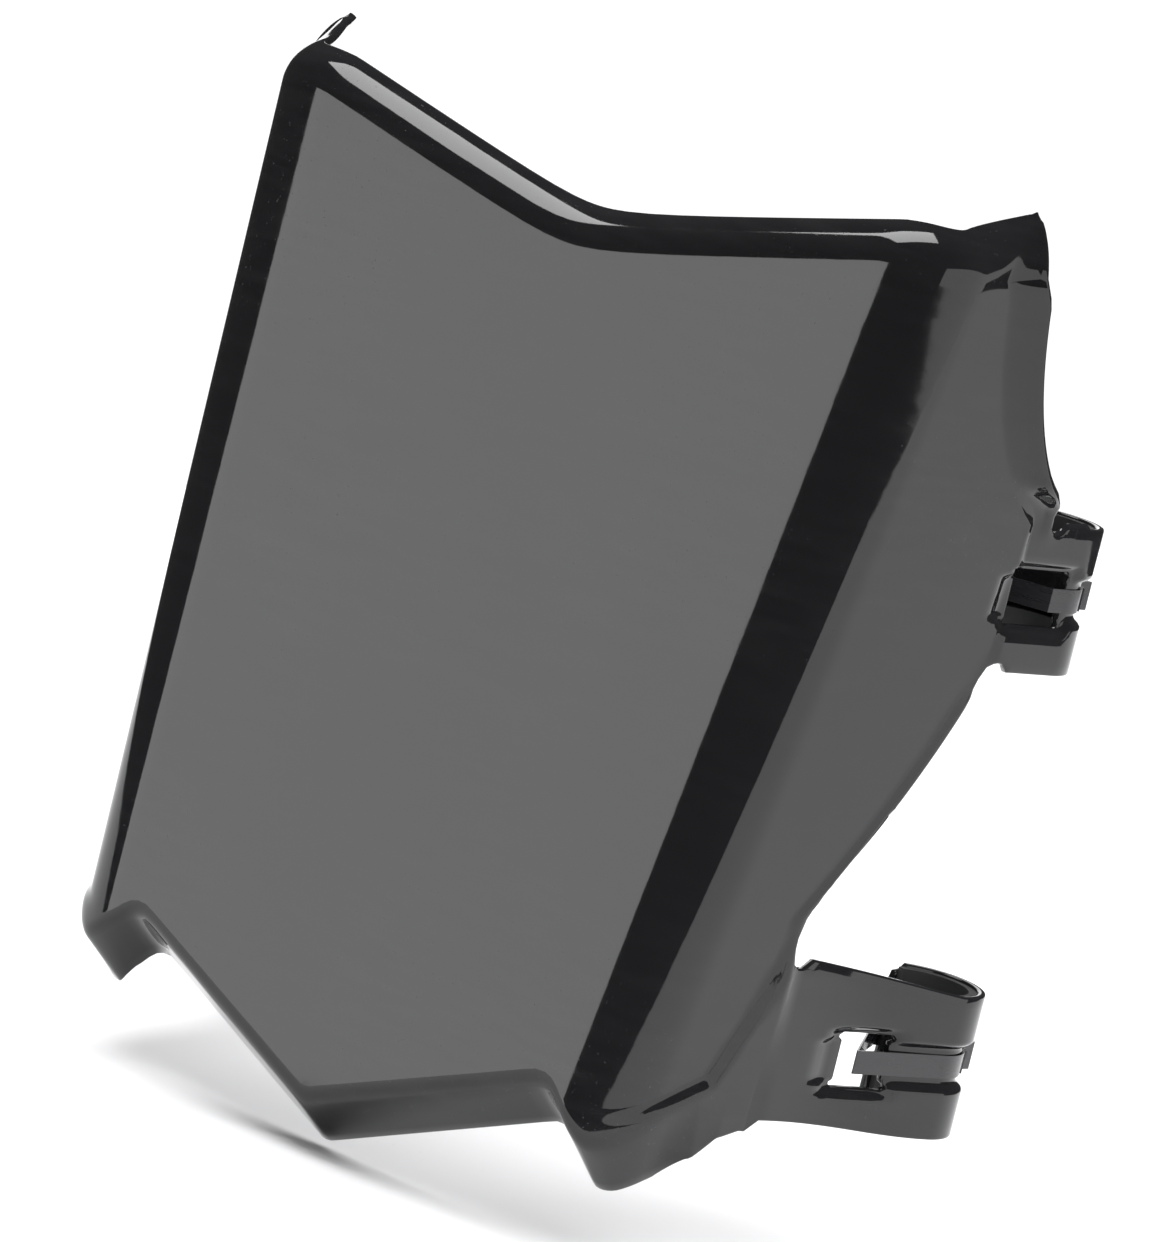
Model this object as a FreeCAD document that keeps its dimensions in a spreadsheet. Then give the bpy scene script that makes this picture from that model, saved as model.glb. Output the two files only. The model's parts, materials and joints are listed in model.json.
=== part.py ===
import FreeCAD, Part
import math
import os

# Wind deflector screen: a one-piece moulded tray-shaped shield whose two wings each end in two C-shaped cradles.
# The cradles hook round a pair of upright tubes and are held by slim worm-drive band clamps.
# Frame: +Z up along the tubes, the front face looks along -Y, X runs across, the mid-plane is x = 0.
# While building, y = 0 is the plane through both tube axes and z = 0 is midway between the two cradle levels.
# At the end everything is moved so that the origin is the middle of the bottom of the assembly's box.

V = FreeCAD.Vector
doc = FreeCAD.newDocument("WindDeflector")
sheet = doc.addObject("Spreadsheet::Sheet", "Sizes")

# Driving sizes in millimetres and degrees.
SIZES = {
    # tubes and cradles
    "tube_dia": 31.75,          # upright tube that the screen hooks on
    "tube_spacing": 300.0,      # between the two tube axes
    "tube_gap": 0.1,            # radial clearance of the cradle and its pads on the tube
    "wall": 3.2,                # moulded wall
    "cradle_height": 56.0,
    "cradle_pitch": 181.0,      # lower cradle centre to upper cradle centre
    "channel_floor": 13.0,      # flat width of the strap channel
    "channel_slope": 3.2,       # height of each sloping side of the channel
    "wrap_end": 165.0,          # angle of the hook's free end, from straight outboard towards the rear
    "window_height": 19.0,
    "upper_window_start": 4.0,  # along the web from where it leaves the round
    "upper_window_length": 19.0,
    "lower_window_start": 38.0,
    "lower_window_length": 22.0,
    # front face
    "face_forward": 160.0,      # tube plane to the face, at the foot of the face
    "face_lean": 7.2,           # the face leans back at the top
    "fold_top_width": 326.0,    # sharp fold to sharp fold, at the sharp top corners
    "fold_foot_width": 266.0,   # the same at the foot of the face
    "wing_splay": 9.0,          # the wings open out towards the rear
    "bend_radius": 26.0,        # outside radius of the side folds
    "roll_radius": 22.0,        # outside radius of the top roll
    "top_corner": 217.0,        # sharp top corner above the cradle mid-level
    "top_dip": 31.0,            # the top edge is this much lower at the middle
    "dip_radius": 300.0,
    "vee_drop": 154.0,          # point of the V below the cradle mid-level
    "vee_rise": 44.0,           # the V legs climb this much to the shoulders
    "shoulder_half": 100.0,
    "ear_half": 119.0,
    "ear_drop": 17.0,           # the corner ears hang below the shoulders
    # turned-back edges
    "top_rise": 20.0,
    "top_depth": 15.0,
    "foot_fall": 38.0,
    "foot_depth": 22.0,
    "lip_out": 8.5,             # the rear lip turns outboard by this much
    # rear outline of the wing, as distances in front of the tube plane
    "lip_top_set": 78.0,
    "lip_top_level": 206.0,
    "lip_mid_set": 58.0,
    "lip_mid_level": 162.0,
    "upper_web_set": 34.0,
    "lower_web_set": 95.0,
    "notch_set": 85.0,
    "notch_level": -38.0,
    "notch_blunt": 12.0,        # the foot of the notch is this tall before it slopes away
    "strip_run": 20.0,          # the side strip leaves the lower web this far forward
    "strip_drop": 4.0,          # and this far below it
    "strip_foot": 30.0,         # the strip's foot at the ear, below the lower web
    "arm_reach": 14.0,          # the arm runs on this far forward over the wing
    "arm_rise": 10.0,           # the arm is this much taller at the wing, above and below the cradle
    "arm_set": 2.0,             # the arm plate starts this far past the window
    # pads
    "pad_inset": 1.0,           # pad edge to the ends of its pocket
    "pad_glue": 0.1,            # glue line between pad and pocket
    "pad_start": -10.0,         # angles that the pads cover, from straight outboard towards the rear
    "pad_end": 159.0,
    # band clamps
    "band_width": 9.0,
    "band_thick": 0.7,
    "band_gap": 0.15,           # between layers of band, and between band and channel
    "band_exit": 5.0,           # the band passes through its window this far past the edge
    "worm_radius": 3.2,
    "worm_length": 12.0,
    "worm_gap": 0.15,
    "housing_wall": 0.8,
    "housing_length": 15.0,
    "housing_angle": 84.0,      # where the housing sits round the hook
    "head_flats": 7.0,
    "head_length": 5.0,
    "slot_width": 1.2,
    "slot_depth": 2.0,
    "tail_start": 38.0,         # angles of the band's free end
    "tail_end": 104.0,
}
for row, (name, value) in enumerate(SIZES.items(), start=1):
    sheet.set(f"A{row}", name)
    sheet.set(f"B{row}", str(value))
    sheet.setAlias(f"B{row}", name)
doc.recompute()


def size(name):
    return float(getattr(sheet, name))


def tan(angle):
    return math.tan(math.radians(angle))


def cos(angle):
    return math.cos(math.radians(angle))


def sin(angle):
    return math.sin(math.radians(angle))


# Values worked out from the driving sizes.
tube_radius = size("tube_dia") / 2
bore_radius = tube_radius + size("tube_gap")
floor_radius = bore_radius + size("wall")
land_radius = floor_radius + size("wall")
tube_x = size("tube_spacing") / 2
half_height = size("cradle_height") / 2
half_floor = size("channel_floor") / 2
half_channel = half_floor + size("channel_slope")
levels = {"upper": size("cradle_pitch") / 2, "lower": -size("cradle_pitch") / 2}
fold_x = size("fold_top_width") / 2
foot_z = -size("vee_drop") + size("vee_rise")
FAR = 400.0                     # longer than any piece, for tools that cut right through


def face_y(z):
    """Y of the front face at height z."""
    return -size("face_forward") + (z - foot_z) * tan(size("face_lean"))


def fold_half(z):
    """Half the width between the sharp folds at height z."""
    share = (z - foot_z) / (size("top_corner") - foot_z)
    return size("fold_foot_width") / 2 + share * (size("fold_top_width") - size("fold_foot_width")) / 2


def wing_x(y, z):
    """X of the wing's outer surface."""
    return fold_half(z) + (y - face_y(z)) * tan(size("wing_splay"))


def polygon_face(points):
    return Part.Face(Part.makePolygon([*points, points[0]]))


def edges_where(shape, test):
    return [edge for edge in shape.Edges if test(edge)]


# ---------------------------------------------------------------------------------------------------------------
# Shield shell
# ---------------------------------------------------------------------------------------------------------------
def plan_prism(inset):
    """Leaning, tapering prism of the plan outline: the face, the side folds and the wings."""
    shift = inset / cos(size("face_lean"))
    side = inset / cos(size("wing_splay"))
    low = face_y(-FAR) + shift
    high = face_y(FAR) + shift
    depth = size("face_forward")
    lean_outline = [V(-FAR, low, -FAR), V(-FAR, low + depth, -FAR), V(-FAR, high + depth, FAR), V(-FAR, high, FAR)]
    prism = polygon_face(lean_outline).extrude(V(2 * FAR, 0, 0))
    wing_corners = [(-FAR, -FAR), (FAR, -FAR), (FAR, 2 * FAR), (-FAR, 2 * FAR)]
    for sign in (1, -1):
        wing = polygon_face([V(sign * (wing_x(y, z) - side), y, z) for y, z in wing_corners])
        prism = prism.cut(wing.extrude(V(sign * 2 * FAR, 0, 0)))
    middle_y = face_y(0) + depth / 2
    folds = edges_where(prism, lambda edge: edge.BoundBox.ZLength > FAR and edge.CenterOfMass.y < middle_y)
    return prism.makeFillet(size("bend_radius") - inset, folds)


def top_profile(inset):
    """Top prism: a shallow V dip with a rounded middle, pushed back and upwards."""
    rise = tan(size("top_rise"))
    drop = inset / cos(size("top_rise"))
    corner = size("top_corner") - drop
    slope = size("top_dip") / fold_x
    round_half = size("dip_radius") * slope
    start = face_y(size("top_corner"))
    back = start - FAR
    middle_z = corner - size("top_dip")
    arc_z = middle_z + round_half * slope

    def at(x, z):
        return V(x, back, z + (back - start) * rise)

    left = at(-FAR, corner + (FAR - fold_x) * slope)
    right = at(FAR, corner + (FAR - fold_x) * slope)
    arc = Part.Arc(at(-round_half, arc_z), at(0, middle_z + round_half * slope / 2), at(round_half, arc_z))
    outline = [
        Part.LineSegment(left, at(-round_half, arc_z)).toShape(),
        arc.toShape(),
        Part.LineSegment(at(round_half, arc_z), right).toShape(),
        Part.LineSegment(right, at(FAR, -3 * FAR)).toShape(),
        Part.LineSegment(at(FAR, -3 * FAR), at(-FAR, -3 * FAR)).toShape(),
        Part.LineSegment(at(-FAR, -3 * FAR), left).toShape(),
    ]
    return Part.Face(Part.Wire(outline)).extrude(V(0, 2 * FAR, 2 * FAR * rise))


def foot_profile(inset):
    """Bottom prism: the V with its shoulders and corner ears, pushed back and downwards."""
    fall = tan(size("foot_fall"))
    lift = inset / cos(size("foot_fall"))
    vee = -size("vee_drop") + lift
    shoulder = vee + size("vee_rise")
    ear = shoulder - size("ear_drop")
    start = face_y(foot_z)
    back = start - FAR
    half = [(0, vee), (size("shoulder_half"), shoulder), (size("ear_half"), ear), (FAR, ear)]
    left = [(-x, z) for x, z in reversed(half[1:])]
    outline = left + half + [(FAR, 3 * FAR), (-FAR, 3 * FAR)]
    face = polygon_face([V(x, back, z - (back - start) * fall) for x, z in outline])
    return face.extrude(V(0, 2 * FAR, -2 * FAR * fall))


def shield_block(inset):
    """Solid shield, moved in by inset, with its top roll."""
    block = plan_prism(inset).common(top_profile(inset)).common(foot_profile(inset))
    lowest = size("top_corner") - size("top_dip") - 2 * size("roll_radius")
    inner = fold_x - size("bend_radius")

    def is_roll(edge):
        """True along the top of the face, folds and wings, but not on the folds or on the ridges of the dip."""
        centre = edge.CenterOfMass
        box = edge.BoundBox
        is_fold = box.ZLength > FAR / 4 and box.ZLength > 2 * box.XLength
        is_ridge = box.YLength > size("face_forward") / 2 and abs(centre.x) < inner
        is_near = centre.z > lowest and centre.y < size("tube_dia") and box.YLength < FAR / 2
        return is_near and not is_fold and not is_ridge

    return block.makeFillet(size("roll_radius") - inset, edges_where(block, is_roll))


def rear_cut():
    """Everything behind the wing's rear outline, cut right across the shield."""
    upper = levels["upper"]
    lower = levels["lower"]
    outline = [
        (-size("lip_top_set"), FAR),
        (-size("lip_top_set"), size("lip_top_level")),
        (-size("lip_mid_set"), size("lip_mid_level")),
        (-size("upper_web_set"), upper + half_height),
        (-size("upper_web_set"), upper - half_height),
        (-size("notch_set"), size("notch_level") + size("notch_blunt") / 2),
        (-size("notch_set"), size("notch_level") - size("notch_blunt") / 2),
        (-size("lower_web_set"), lower + half_height),
        (-size("lower_web_set"), lower - half_height),
        (-size("lower_web_set") - size("strip_run"), lower - half_height - size("strip_drop")),
        (-size("face_forward") + size("foot_depth"), lower - half_height - size("strip_foot")),
        (-size("face_forward") + size("foot_depth"), -FAR),
        (FAR, -FAR),
        (FAR, FAR),
    ]
    face = polygon_face([V(-FAR, y, z) for y, z in outline])
    return face.extrude(V(2 * FAR, 0, 0))


def top_edge_cut():
    """Trims the top turned-back edge to its depth, opening out to the wings at the corners."""
    rear = face_y(size("top_corner")) + size("top_depth")
    inner = fold_x - size("bend_radius")
    base = size("top_corner") - size("top_dip") - size("bend_radius")
    outer = wing_x(-size("lip_top_set"), base) - 2 * size("wall")
    outline = [(-outer, -size("lip_top_set")), (-inner, rear), (inner, rear), (outer, -size("lip_top_set"))]
    outline = outline + [(outer, FAR), (-outer, FAR)]
    face = polygon_face([V(x, y, base) for x, y in outline])
    return face.extrude(V(0, 0, FAR))


def rear_lip():
    """Right-hand lip: a strip that turns outboard from the wing's rear edge."""
    rise = size("lip_out")
    stations = [
        (-size("lip_top_set"), size("lip_top_level"), 0.0, rise, size("wall")),
        (-size("lip_mid_set"), size("lip_mid_level"), rise / 2, 0.0, 0.0),
        (-size("upper_web_set"), levels["upper"] + half_height, rise / 2, 0.0, 0.0),
    ]
    sections = []
    for y_in, z_in, back, up, sink in stations:
        root = V(wing_x(y_in, z_in) - size("wall") / 2 - sink, y_in - size("wall") / 2, z_in - sink)
        edge = V(wing_x(y_in, z_in) + size("lip_out"), y_in + back, z_in + up)
        along = (edge - root).normalize()
        across = V(along.y, -along.x, 0).normalize() * size("wall")
        corners = [root, edge, edge - across, root - across]
        sections.append(Part.makePolygon([*corners, corners[0]]))
    return Part.makeLoft(sections, True, True)


def hook_section():
    """Wall section of a cradle in the (radius, height) plane: lands, channel, inner rib and pad pockets."""
    outer = [
        (land_radius, half_height), (land_radius, half_channel), (floor_radius, half_floor),
        (floor_radius, -half_floor), (land_radius, -half_channel), (land_radius, -half_height),
    ]
    inner = [
        (floor_radius, -half_height), (floor_radius, -half_channel), (bore_radius, -half_floor),
        (bore_radius, half_floor), (floor_radius, half_channel), (floor_radius, half_height),
    ]
    return polygon_face([V(radius, 0, z) for radius, z in outer + inner])


def web_line(level_name):
    """Where the web leaves the round of the hook: the angle, and the length to the wing."""
    z = levels[level_name]
    set_back = size(f"{level_name}_web_set")
    reach_x = wing_x(-set_back, z) - tube_x
    distance = math.hypot(reach_x, set_back)
    bearing = math.degrees(math.atan2(-set_back, reach_x))
    angle = bearing + math.degrees(math.acos(land_radius / distance))
    length = math.sqrt(distance ** 2 - land_radius ** 2)
    return angle, length


def cradle(level_name):
    """Right-hand C-shaped hook with its web and strap window, at its place."""
    angle, length = web_line(level_name)
    section = hook_section()
    section.rotate(V(0, 0, 0), V(0, 0, 1), angle)
    hook = section.revolve(V(0, 0, 0), V(0, 0, 1), size("wrap_end") - angle)
    forward = V(sin(angle), -cos(angle), 0)
    web = section.extrude(forward * length)
    start = size(f"{level_name}_window_start")
    window = Part.makeBox(
        3 * size("wall"), size(f"{level_name}_window_length"), size("window_height"),
        V(floor_radius - 2 * size("wall"), -start - size(f"{level_name}_window_length"), -size("window_height") / 2),
    )
    window.rotate(V(0, 0, 0), V(0, 0, 1), angle)
    shape = hook.fuse(web).cut(window)
    if level_name == "lower":
        shape = shape.fuse(arm_plate(angle, length))
    shape.translate(V(tube_x, 0, levels[level_name]))
    return shape


def arm_plate(angle, length):
    """Plate that carries the lower web on over the wing, taller towards the front."""
    far_window = size("lower_window_start") + size("lower_window_length") + size("arm_set")
    reach = length + size("arm_reach")
    rise = size("arm_rise")
    outline = [
        (far_window, half_height), (length, half_height + rise), (reach, half_height - rise),
        (reach, -half_height + rise / 2), (length, -half_height - rise / 4), (far_window, -half_height),
    ]
    plate = polygon_face([V(land_radius - size("wall"), -along, z) for along, z in outline])
    plate = plate.extrude(V(size("wall"), 0, 0))
    plate.rotate(V(0, 0, 0), V(0, 0, 1), angle)
    return plate


def build_shell():
    block = shield_block(0)
    core = shield_block(size("wall"))
    tray = block.cut(core).cut(rear_cut()).cut(top_edge_cut())
    right = [rear_lip(), cradle("upper"), cradle("lower")]
    left = [piece.mirror(V(0, 0, 0), V(1, 0, 0)) for piece in right]
    return tray.fuse(right + left).removeSplitter()


shell = doc.addObject("Part::Feature", "ScreenShell")
shell.Label = "screen_shell"
shell.Shape = build_shell()
shell.Placement = FreeCAD.Placement()


# ---------------------------------------------------------------------------------------------------------------
# Pads and band clamps, each made round a tube axis on the right-hand side
# ---------------------------------------------------------------------------------------------------------------
TUBE_X = "Sizes.tube_spacing / 2"
LEVEL = {"upper": "Sizes.cradle_pitch / 2", "lower": "-Sizes.cradle_pitch / 2"}
BORE = "Sizes.tube_dia / 2 + Sizes.tube_gap"
FLOOR = BORE + " + Sizes.wall"
LOOP_OUT = FLOOR + " + Sizes.band_gap + Sizes.band_thick"
TAIL_IN = LOOP_OUT + " + Sizes.band_gap"
TAIL_OUT = TAIL_IN + " + Sizes.band_thick"
WORM_AXIS = TAIL_OUT + " + Sizes.band_gap + Sizes.worm_radius"


def bind(thing, values):
    """Tie properties of a document object to sheet formulas."""
    for name, formula in values.items():
        thing.setExpression(name, formula)
    return thing


def primitive(kind, name, values):
    return bind(doc.addObject(kind, name), values)


def cut(name, base, tool):
    result = doc.addObject("Part::Cut", name)
    result.Base = base
    result.Tool = tool
    return result


def fuse(name, shapes):
    result = doc.addObject("Part::MultiFuse", name)
    result.Shapes = shapes
    return result


def place(thing, label, level_name, height="0", turn="0"):
    """Name a finished piece and put it on its tube, turned round the tube's axis."""
    thing.Label = label
    bind(thing, {
        "Placement.Base.x": TUBE_X,
        "Placement.Base.z": f"{LEVEL[level_name]} + {height}",
        "Placement.Rotation.Angle": turn,
    })
    return thing


def sector(name, inner, outer, height, start, end):
    """Ring sector centred on z = 0, from angle start to angle end."""
    values = {"Radius": outer, "Height": height, "Angle": f"({end}) - ({start})"}
    solid = primitive("Part::Cylinder", name + "_outer", values)
    hole = primitive("Part::Cylinder", name + "_hole", {"Radius": inner, "Height": height + " + 2"})
    bind(solid, {"Placement.Base.z": f"-({height}) / 2", "Placement.Rotation.Angle": start})
    bind(hole, {"Placement.Base.z": f"-({height}) / 2 - 1"})
    return cut(name, solid, hole)


def make_pad(level_name, row_name):
    """Rubber pad in the pocket above or below the inner rib."""
    pocket = "(Sizes.cradle_height / 2 - Sizes.channel_floor / 2 - Sizes.channel_slope)"
    height = f"{pocket} - 2 * Sizes.pad_inset"
    name = f"pad_{level_name}_{row_name}"
    pad = sector(name, BORE, FLOOR + " - Sizes.pad_glue", height, "Sizes.pad_start", "Sizes.pad_end")
    sign = "" if row_name == "top" else "-"
    return place(pad, name + "_right", level_name, f"{sign}(Sizes.cradle_height / 2 - {pocket} / 2)")


def band_loop(level_name):
    """Closed steel band: round the hook, forward along the web, in through the window and round the tube."""
    angle, _ = web_line(level_name)
    thick = size("band_thick")
    half_width = size("band_width") / 2
    hook = floor_radius + size("band_gap") + thick / 2
    bare = tube_radius + size("band_gap") + thick / 2
    past_end = size("wrap_end") + math.degrees(thick / hook)
    reach = size(f"{level_name}_window_start") + size("band_exit")

    def polar(radius, bearing):
        return V(radius * cos(bearing), radius * sin(bearing), -half_width)

    leave = polar(hook, angle)
    turn_in = leave + V(sin(angle), -cos(angle), 0) * reach
    turn_distance = math.hypot(turn_in.x, turn_in.y)
    front_bearing = math.degrees(math.atan2(turn_in.y, turn_in.x) - math.acos(bare / turn_distance))
    rear_bearing = past_end + math.degrees(math.acos(bare / hook)) - 360
    hook_arc = Part.Arc(polar(hook, past_end), polar(hook, (past_end + angle) / 2), leave)
    bare_middle = polar(bare, (front_bearing + rear_bearing) / 2)
    bare_arc = Part.Arc(polar(bare, front_bearing), bare_middle, polar(bare, rear_bearing))
    middle = Part.Wire([
        hook_arc.toShape(),
        Part.LineSegment(leave, turn_in).toShape(),
        Part.LineSegment(turn_in, polar(bare, front_bearing)).toShape(),
        bare_arc.toShape(),
        Part.LineSegment(polar(bare, rear_bearing), polar(hook, past_end)).toShape(),
    ])
    outside = Part.Face(middle.makeOffset2D(thick / 2))
    inside = Part.Face(middle.makeOffset2D(-thick / 2))
    return outside.cut(inside).extrude(V(0, 0, 2 * half_width))


def make_band(level_name):
    band = doc.addObject("Part::Feature", f"band_{level_name}")
    band.Shape = band_loop(level_name)
    return place(band, f"clamp_band_{level_name}_right", level_name)


def make_tail(level_name):
    """Free end of the band, which the worm draws through the housing over the loop."""
    name = f"band_tail_{level_name}"
    tail = sector(name, TAIL_IN, TAIL_OUT, "Sizes.band_width", "Sizes.tail_start", "Sizes.tail_end")
    return place(tail, name + "_right", level_name)


def tangent_cylinder(name, radius, length, along):
    """Cylinder on the worm's axis, from along to along + length."""
    solid = primitive("Part::Cylinder", name, {"Radius": radius, "Height": length})
    solid.Placement.Rotation = FreeCAD.Rotation(V(1, 0, 0), -90)
    return bind(solid, {"Placement.Base.x": WORM_AXIS, "Placement.Base.y": along})


def make_housing(level_name):
    """Folded steel housing that straddles the band and carries the worm."""
    name = f"housing_{level_name}"
    side = "(Sizes.band_width / 2 + Sizes.band_gap)"
    foot = f"({FLOOR} + Sizes.band_gap)"
    crown = f"({WORM_AXIS} + Sizes.worm_radius + Sizes.worm_gap + Sizes.housing_wall)"
    box = primitive("Part::Box", name + "_box", {
        "Length": f"{crown} - {foot}",
        "Width": "Sizes.housing_length",
        "Height": f"2 * ({side} + Sizes.housing_wall)",
        "Placement.Base.x": foot,
        "Placement.Base.y": "-Sizes.housing_length / 2",
        "Placement.Base.z": f"-({side} + Sizes.housing_wall)",
    })
    passage = primitive("Part::Cylinder", name + "_passage", {
        "Radius": f"{TAIL_OUT} + Sizes.band_gap",
        "Height": f"2 * {side}",
        "Placement.Base.z": f"-{side}",
    })
    half = "(Sizes.worm_length / 2 + Sizes.worm_gap)"
    bore = "Sizes.worm_radius + Sizes.worm_gap"
    cavity = tangent_cylinder(name + "_cavity", bore, f"2 * {half}", f"-{half}")
    ends = tangent_cylinder(name + "_ends", f"({bore}) / 2", "2 * Sizes.housing_length", "-Sizes.housing_length")
    hollow = fuse(name + "_hollow", [passage, cavity, ends])
    housing = cut(name, box, hollow)
    return place(housing, f"clamp_housing_{level_name}_right", level_name, turn="Sizes.housing_angle")


def make_screw(level_name):
    """Worm screw with a slotted hexagon head, its axis across the tube."""
    name = f"worm_{level_name}"
    neck_length = "(Sizes.housing_length / 2 + Sizes.worm_gap)"
    worm = tangent_cylinder(name + "_thread", "Sizes.worm_radius", "Sizes.worm_length", "-Sizes.worm_length / 2")
    neck = tangent_cylinder(
        name + "_neck", "Sizes.worm_radius / 2", f"2 * {neck_length}", f"-{neck_length}")
    head = primitive("Part::Prism", name + "_head", {
        "Polygon": "6",
        "Circumradius": "Sizes.head_flats / 2 / cos(30 deg)",
        "Height": "Sizes.head_length",
        "Placement.Base.x": WORM_AXIS,
        "Placement.Base.y": neck_length,
    })
    head.Placement.Rotation = FreeCAD.Rotation(V(1, 0, 0), -90)
    slot = primitive("Part::Box", name + "_slot", {
        "Length": "2 * Sizes.head_flats",
        "Width": "Sizes.slot_depth + 1",
        "Height": "Sizes.slot_width",
        "Placement.Base.x": f"{WORM_AXIS} - Sizes.head_flats",
        "Placement.Base.y": f"{neck_length} + Sizes.head_length - Sizes.slot_depth",
        "Placement.Base.z": "-Sizes.slot_width / 2",
    })
    screw = cut(name, fuse(name + "_blank", [worm, neck, head]), slot)
    return place(screw, f"worm_screw_{level_name}_right", level_name, turn="Sizes.housing_angle")


right_pieces = []
for level_name in levels:
    right_pieces += [make_pad(level_name, "top"), make_pad(level_name, "bottom")]
    right_pieces += [make_band(level_name), make_tail(level_name), make_housing(level_name), make_screw(level_name)]


def mirror_to_left(piece):
    twin = doc.addObject("Part::Mirroring", piece.Name + "_left")
    twin.Source = piece
    twin.Normal = V(1, 0, 0)
    twin.Label = piece.Label.replace("_right", "_left")
    return twin


left_pieces = [mirror_to_left(piece) for piece in right_pieces]
pieces = [shell, *right_pieces, *left_pieces]
doc.recompute()


# ---------------------------------------------------------------------------------------------------------------
# Origin at the middle of the bottom of the whole assembly, then the checks and the files
# ---------------------------------------------------------------------------------------------------------------
box = FreeCAD.BoundBox()
for piece in pieces:
    box.add(piece.Shape.BoundBox)
shift = V(0, -box.Center.y, -box.ZMin)
shell.Placement.Base = shift
for piece in right_pieces:
    base = piece.Placement.Base
    bind(piece, {"Placement.Base.y": str(shift.y)})
    height = [formula for path, formula in piece.ExpressionEngine if path.endswith("Placement.Base.z")][0]
    bind(piece, {"Placement.Base.z": f"{height} + {shift.z}"})
doc.recompute()

for thing in doc.Objects:
    if "Invalid" in thing.State or "Error" in thing.State:
        raise RuntimeError(f"{thing.Label} failed: {thing.State}")
for piece in pieces:
    if piece.Shape.isNull() or not piece.Shape.isValid():
        raise RuntimeError(f"{piece.Label} has no sound shape")
    if len(piece.Shape.Solids) != 1:
        raise RuntimeError(f"{piece.Label} is {len(piece.Shape.Solids)} solids")

os.makedirs("parts", exist_ok=True)
for piece in pieces:
    piece.Shape.exportStep(f"parts/{piece.Label}.step")
print("tube axes at x =", tube_x, "y =", round(shift.y, 4))
for level_name, level in levels.items():
    print(level_name, "cradle centre at z =", round(level + shift.z, 4))
tail_out = floor_radius + 2 * (size("band_gap") + size("band_thick"))
worm_axis = tail_out + size("band_gap") + size("worm_radius")
print("worm axis", round(worm_axis, 4), "from the tube axis at", size("housing_angle"), "degrees")
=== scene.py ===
# %% [markdown]
# # A moulded wind deflector for a motorcycle, strapped to two upright tubes
# The real object is one thin sheet of gloss black plastic: a leaning face, two wings folded back from it,
# and on the rear edge of each wing two C-shaped cradles that hook round a tube. Steel band clamps lie in
# the cradles' channels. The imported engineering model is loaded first, as a frame that never moves, and the
# looks go round it.

# %% Load the frame
import json
import math

import bmesh
import bpy
import numpy as np
from mathutils import Matrix, Quaternion, Vector

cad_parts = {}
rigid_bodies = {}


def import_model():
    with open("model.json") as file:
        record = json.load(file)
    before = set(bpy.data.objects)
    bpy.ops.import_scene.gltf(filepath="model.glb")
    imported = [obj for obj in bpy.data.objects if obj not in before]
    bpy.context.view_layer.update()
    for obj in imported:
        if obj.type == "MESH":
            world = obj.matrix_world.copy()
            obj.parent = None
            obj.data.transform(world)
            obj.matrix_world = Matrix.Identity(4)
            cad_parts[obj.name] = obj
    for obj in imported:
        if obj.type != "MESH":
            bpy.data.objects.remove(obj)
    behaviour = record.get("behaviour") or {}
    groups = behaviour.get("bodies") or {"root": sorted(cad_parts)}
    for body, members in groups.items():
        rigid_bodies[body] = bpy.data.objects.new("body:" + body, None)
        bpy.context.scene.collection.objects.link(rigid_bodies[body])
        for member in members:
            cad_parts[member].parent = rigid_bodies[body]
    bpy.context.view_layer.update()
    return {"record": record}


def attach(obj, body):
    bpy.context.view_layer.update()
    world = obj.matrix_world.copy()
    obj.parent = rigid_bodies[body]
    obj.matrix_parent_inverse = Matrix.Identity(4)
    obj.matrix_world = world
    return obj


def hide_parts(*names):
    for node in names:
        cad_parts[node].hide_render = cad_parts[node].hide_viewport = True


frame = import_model()

# %% [markdown]
# ## Where things are
# The record's mounts give the tube axes, so every place below is counted from them in millimetres: x from
# the mid-plane, y from the plane through both tubes, z from midway between the two cradle levels. One
# helper turns that into the frame's metres.

# %% Places and sizes
MM = 0.001
mounts = {mount["name"]: mount for mount in frame["record"]["mounts"]}
TUBE_X, TUBE_Y, UPPER_Z = (value / MM for value in mounts["right_tube"]["pos_m"])
CRADLE_PITCH = 181.0
MIDDLE_Z = UPPER_Z - CRADLE_PITCH / 2
LEVELS = {"upper": CRADLE_PITCH / 2, "lower": -CRADLE_PITCH / 2}
WALL = 3.2
LAND_RADIUS = 22.375
WRAP_END = 165.0
print("tube axis at", round(TUBE_X, 2), round(TUBE_Y, 2), "middle level", round(MIDDLE_Z, 2))


def to_frame(points):
    """Working millimetres to the frame's metres."""
    return (np.asarray(points, float) + np.array([0.0, TUBE_Y, MIDDLE_Z])) * MM


def ease(value):
    """Smooth ramp from 0 to 1."""
    value = np.clip(value, 0.0, 1.0)
    return value * value * (3 - 2 * value)


def table(x, pairs):
    """A value read off a short table, with straight runs between its rows."""
    return np.interp(x, [pair[0] for pair in pairs], [pair[1] for pair in pairs])


def deselect_all():
    if bpy.context.object and bpy.context.object.mode != "OBJECT":
        bpy.ops.object.mode_set(mode="OBJECT")
    bpy.ops.object.select_all(action="DESELECT")


def activate(piece):
    deselect_all()
    piece.select_set(True)
    bpy.context.view_layer.objects.active = piece


# %% [markdown]
# ## The camera and the stage
# A long lens from the right and a little above keeps the wings nearly parallel, as product pictures do. The
# camera leans, so that the object's up direction tips to the right. The floor is pale, and the world is
# pale where the lens looks at it but dim where the plastic mirrors it: gloss black shows only what it
# reflects.

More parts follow.
